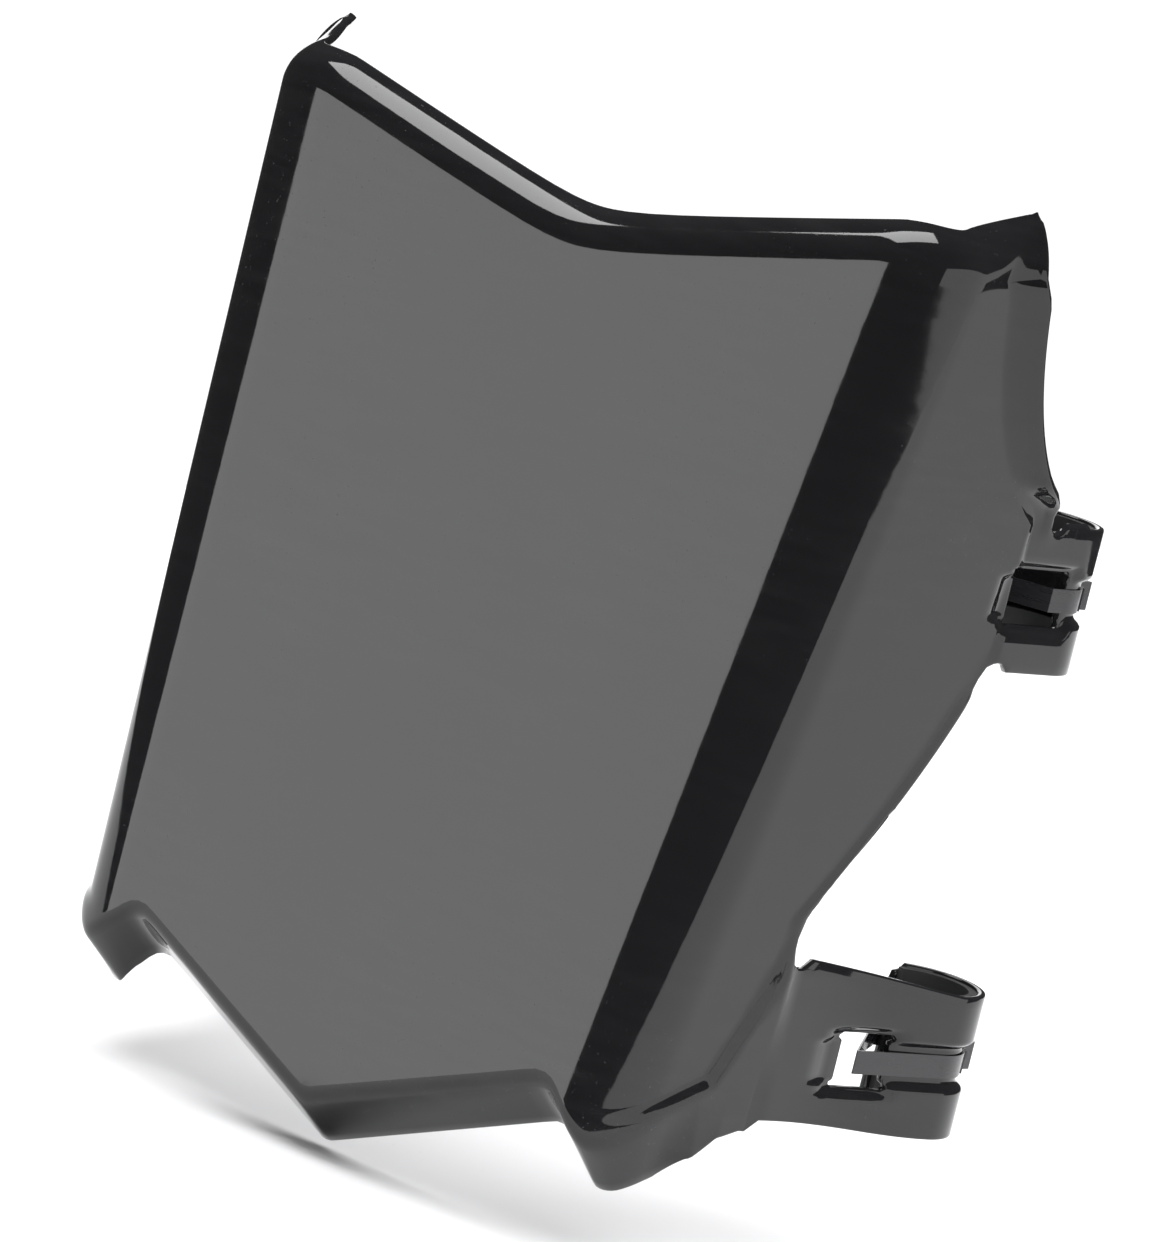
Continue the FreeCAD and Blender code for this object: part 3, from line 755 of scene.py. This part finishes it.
rim.angle_limit = math.radians(58)
rim.use_clamp_overlap = False
bpy.ops.object.modifier_apply(modifier="rim")
mesh = shell.data
mesh.attributes.remove(mesh.attributes["wall_direction"])
bpy.ops.object.shade_smooth_by_angle(angle=math.radians(50))
print("shell has", len(mesh.polygons), "faces")
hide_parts("screen_shell")
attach(shell, "screen")

# %% [markdown]
# ## Worm screws
# The screw of a band clamp is a short worm whose thread bites the slots of the band, and a slotted hexagon
# head. The thread could be a bump in the paint, but its outline shows at the housing's open side, so it is
# swept as a real helix. One screw is modelled, then copied to the four clamps, each copy with its own mesh.

# %% Places of the four clamps
HOUSING_TURN = math.radians(84)
WORM_OFF = 24.225
NECK_BACK, THREAD_FADE, HEAD_CHAMFER = 1.65, 0.8, 0.35
WORM_RADIUS, WORM_HALF, NECK_RADIUS = 3.2, 6.0, 1.6
HEAD_START, HEAD_LENGTH, HEAD_FLATS = 7.65, 5.0, 7.0
THREAD_PITCH, THREAD_DEPTH = 2.1, 0.55
SLOT_WIDTH, SLOT_DEPTH = 1.2, 2.0


def clamp_matrix(level_name, side):
    """Clamp space to frame metres: x away from the tube, y along the worm; side -1 mirrors it."""
    centre = to_frame((TUBE_X, 0, LEVELS[level_name]))
    turned = Matrix.Translation(centre) @ Matrix.Rotation(HOUSING_TURN, 4, "Z") @ Matrix.Scale(MM, 4)
    return Matrix.Diagonal((side, 1, 1, 1)) @ turned


# %% Thread
THREAD_STEPS = 32
turns = 2 * WORM_HALF / THREAD_PITCH
along_count = int(turns * 8) + 1
deselect_all()
bpy.ops.mesh.primitive_cylinder_add(vertices=THREAD_STEPS, radius=1.0, depth=1.0, end_fill_type="NGON")
worm = bpy.context.object
worm.name = "worm_pattern"
activate(worm)
bpy.ops.object.mode_set(mode="EDIT")
edit = bmesh.from_edit_mesh(worm.data)
uprights = [edge for edge in edit.edges if abs(edge.verts[0].co.z - edge.verts[1].co.z) > 0.5]
bmesh.ops.subdivide_edges(edit, edges=uprights, cuts=along_count - 1, use_grid_fill=False)
for vertex in edit.verts:
    angle = math.atan2(vertex.co.y, vertex.co.x)
    height = vertex.co.z * 2 * WORM_HALF
    phase = (height / THREAD_PITCH - angle / (2 * math.pi)) % 1.0
    crest = ease(min(phase, 1 - phase) * 3.2)
    fade = ease((WORM_HALF - abs(height)) / THREAD_FADE)
    radius = WORM_RADIUS - THREAD_DEPTH * (1 - fade * (1 - crest))
    vertex.co = (WORM_OFF + radius * math.cos(angle), height, radius * math.sin(angle))
bmesh.update_edit_mesh(worm.data)
bpy.ops.mesh.select_all(action="SELECT")
bpy.ops.mesh.normals_make_consistent(inside=False)
bpy.ops.object.mode_set(mode="OBJECT")
print("thread has", len(worm.data.polygons), "faces")

# %% Neck and slotted head
neck_half = (HEAD_START + 1.0 + WORM_HALF + NECK_BACK) / 2
bpy.ops.mesh.primitive_cylinder_add(vertices=24, radius=NECK_RADIUS, depth=2 * neck_half)
neck = bpy.context.object
neck.rotation_euler = (math.radians(-90), 0, 0)
neck.location = (WORM_OFF, neck_half - WORM_HALF - NECK_BACK, 0)
head_corner = HEAD_FLATS / 2 / math.cos(math.pi / 6)
bpy.ops.mesh.primitive_cylinder_add(vertices=6, radius=head_corner, depth=HEAD_LENGTH)
head = bpy.context.object
head.rotation_euler = (math.radians(-90), 0, 0)
head.location = (WORM_OFF, HEAD_START + HEAD_LENGTH / 2, 0)
bpy.ops.mesh.primitive_cube_add(size=1.0)
slot = bpy.context.object
slot.scale = (3 * HEAD_FLATS, 2 * SLOT_DEPTH, SLOT_WIDTH)
slot.location = (WORM_OFF, HEAD_START + HEAD_LENGTH, 0)
for thing in (neck, head, slot):
    activate(thing)
    bpy.ops.object.transform_apply(location=True, rotation=True, scale=True)
activate(head)
chamfer = head.modifiers.new("chamfer", "BEVEL")
chamfer.width = HEAD_CHAMFER
chamfer.segments = 2
chamfer.limit_method = "ANGLE"
bpy.ops.object.modifier_apply(modifier="chamfer")
for tool, operation in ((slot, "DIFFERENCE"), (neck, "UNION"), (worm, "UNION")):
    join = head.modifiers.new("join", "BOOLEAN")
    join.operation = operation
    join.solver = "EXACT"
    join.object = tool
    bpy.ops.object.modifier_apply(modifier="join")
for tool in (slot, neck, worm):
    bpy.data.objects.remove(tool)
bpy.ops.object.shade_smooth_by_angle(angle=math.radians(40))
screws = []
for level_name in LEVELS:
    for side_name, side in (("right", 1), ("left", -1)):
        screw = bpy.data.objects.new(f"worm_{level_name}_{side_name}", head.data.copy())
        bpy.context.scene.collection.objects.link(screw)
        screw.data.transform(clamp_matrix(level_name, side))
        if side < 0:
            screw.data.flip_normals()
        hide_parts(f"worm_screw_{level_name}_{side_name}")
        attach(screw, f"worm_screw_{level_name}_{side_name}")
        screws.append(screw)
bpy.data.objects.remove(head)
print(len(screws), "screws of", len(screws[0].data.polygons), "faces")

# %% [markdown]
# ## Finishes
# Gloss black moulding is a very dark plastic with a mirror-like skin. The skin isn't perfect: it has a
# faint orange-peel wave, fine wiping marks and a little dust. Such shared effects are node groups that give
# out masks, colours and heights only, and each material has its own shader.


# %% Node helpers
def new_material(name):
    material = bpy.data.materials.new(name)
    material.use_nodes = True
    tree = material.node_tree
    return material, tree.nodes, tree.links, tree.nodes["Principled BSDF"]


def new_group(name, outputs):
    """Empty node group with object coordinates ready, and its output node."""
    group = bpy.data.node_groups.new(name, "ShaderNodeTree")
    for label, kind in outputs:
        group.interface.new_socket(name=label, in_out="OUTPUT", socket_type=kind)
    place = group.nodes.new("ShaderNodeTexCoord").outputs["Object"]
    return group, place, group.nodes.new("NodeGroupOutput")


def noise(tree, place, scale, detail, stretch=(1, 1, 1)):
    """Noise of a given scale per metre, stretched along the axes."""
    spread = tree.nodes.new("ShaderNodeMapping")
    spread.inputs["Scale"].default_value = stretch
    tree.links.new(place, spread.inputs["Vector"])
    texture = tree.nodes.new("ShaderNodeTexNoise")
    texture.inputs["Scale"].default_value = scale
    texture.inputs["Detail"].default_value = detail
    tree.links.new(spread.outputs["Vector"], texture.inputs["Vector"])
    return texture.outputs["Fac"]


def span(tree, value, low, high, to_low, to_high):
    """Remap a value from low..high to to_low..to_high."""
    node = tree.nodes.new("ShaderNodeMapRange")
    for label, number in (("From Min", low), ("From Max", high), ("To Min", to_low), ("To Max", to_high)):
        node.inputs[label].default_value = number
    tree.links.new(value, node.inputs["Value"])
    return node.outputs["Result"]


def combine(tree, operation, first, second):
    node = tree.nodes.new("ShaderNodeMath")
    node.operation = operation
    for socket, value in zip(node.inputs, (first, second)):
        if isinstance(value, (int, float)):
            socket.default_value = value
        else:
            tree.links.new(value, socket)
    return node.outputs["Value"]


def blend_colour(tree, mask, first, second):
    node = tree.nodes.new("ShaderNodeMix")
    node.data_type = "RGBA"
    node.inputs["A"].default_value = (*first, 1)
    node.inputs["B"].default_value = (*second, 1)
    node.inputs[0].default_value = 0
    tree.links.new(mask, node.inputs[0])
    return node.outputs["Result"]


# %% Shared skin group
def skin_group(name, base, worn, smooth, rough, wave_scale, wave, grain_scale, grain, dust_scale):
    """Colour, roughness and height of a skin with waves, grain, wiping marks and specks of dust."""
    outputs = [("Colour", "NodeSocketColor"), ("Roughness", "NodeSocketFloat"), ("Height", "NodeSocketFloat")]
    group, place, out = new_group(name, outputs)
    marks = noise(group, place, 35, 5, (1, 1, 7))
    cloud = noise(group, place, 9, 3)
    dust = span(group, noise(group, place, dust_scale, 2), 0.70, 0.76, 0, 1)
    dust = combine(group, "MULTIPLY", dust, span(group, cloud, 0.45, 0.62, 0, 1))
    patches = span(group, cloud, 0.35, 0.65, 0.2, 1)
    wiped = combine(group, "MULTIPLY", span(group, marks, 0.4, 0.75, 0, 1), patches)
    tone = combine(group, "MAXIMUM", combine(group, "MULTIPLY", wiped, 0.12), dust)
    group.links.new(blend_colour(group, tone, base, worn), out.inputs["Colour"])
    dusty = combine(group, "MULTIPLY", dust, 0.4)
    roughness = combine(group, "ADD", span(group, wiped, 0, 1, smooth, rough), dusty)
    group.links.new(roughness, out.inputs["Roughness"])
    waves = combine(group, "MULTIPLY", noise(group, place, wave_scale, 2), wave)
    grains = combine(group, "MULTIPLY", noise(group, place, grain_scale, 3), grain)
    group.links.new(combine(group, "ADD", waves, grains), out.inputs["Height"])
    return group


def finish(name, group, bump, metallic=0.0, coat=0.0, specular=0.5):
    """Material with a shader of its own, fed by a skin group."""
    material, nodes, links, shader = new_material(name)
    skin = nodes.new("ShaderNodeGroup")
    skin.node_tree = group
    relief_node = nodes.new("ShaderNodeBump")
    relief_node.inputs["Strength"].default_value = 1.0
    relief_node.inputs["Distance"].default_value = bump * MM
    links.new(skin.outputs["Colour"], shader.inputs["Base Color"])
    links.new(skin.outputs["Roughness"], shader.inputs["Roughness"])
    links.new(skin.outputs["Height"], relief_node.inputs["Height"])
    links.new(relief_node.outputs["Normal"], shader.inputs["Normal"])
    shader.inputs["Metallic"].default_value = metallic
    shader.inputs["Specular IOR Level"].default_value = specular
    shader.inputs["Coat Weight"].default_value = coat
    shader.inputs["Coat Roughness"].default_value = 0.05
    return material


# %% The four finishes and the floor
plastic_skin = skin_group(
    "moulded_skin", (0.010, 0.010, 0.011), (0.06, 0.06, 0.062), 0.05, 0.08, 55, 1.0, 650, 0.05, 900)
rubber_skin = skin_group(
    "rubber_skin", (0.022, 0.022, 0.023), (0.10, 0.10, 0.10), 0.62, 0.8, 300, 0.4, 2500, 1.0, 1400)
coated_skin = skin_group(
    "coated_skin", (0.016, 0.016, 0.018), (0.09, 0.09, 0.09), 0.26, 0.42, 400, 0.6, 3000, 0.6, 1600)
steel_skin = skin_group(
    "steel_skin", (0.05, 0.05, 0.053), (0.14, 0.135, 0.13), 0.28, 0.48, 500, 0.4, 3500, 0.5, 1800)
finishes = {
    "gloss_black_moulding": finish("gloss_black_moulding", plastic_skin, 0.05),
    "pad_rubber": finish("pad_rubber", rubber_skin, 0.05),
    "coated_band_steel": finish("coated_band_steel", coated_skin, 0.02, coat=0.2),
    "screw_steel": finish("screw_steel", steel_skin, 0.02, metallic=0.6),
}
floor_skin = skin_group(
    "floor_skin", (0.86, 0.86, 0.87), (0.80, 0.80, 0.80), 0.85, 0.95, 20, 0.5, 900, 0.5, 300)
floor.data.materials.clear()
floor.data.materials.append(finish("floor_paper", floor_skin, 0.02))
node_slots = {part["node"]: part["material_slot"] for part in frame["record"]["subparts"]}
FINISHED = {"deflector_shell": "gloss_black_moulding"} | {screw.name: "screw_steel" for screw in screws}
for thing in bpy.data.objects:
    if thing.type != "MESH" or thing == floor:
        continue
    slot_name = FINISHED.get(thing.name) or node_slots.get(thing.name)
    if slot_name is None:
        print("no finish for", thing.name)
        continue
    thing.data.materials.clear()
    thing.data.materials.append(finishes[slot_name])
print("finishes:", ", ".join(finishes))
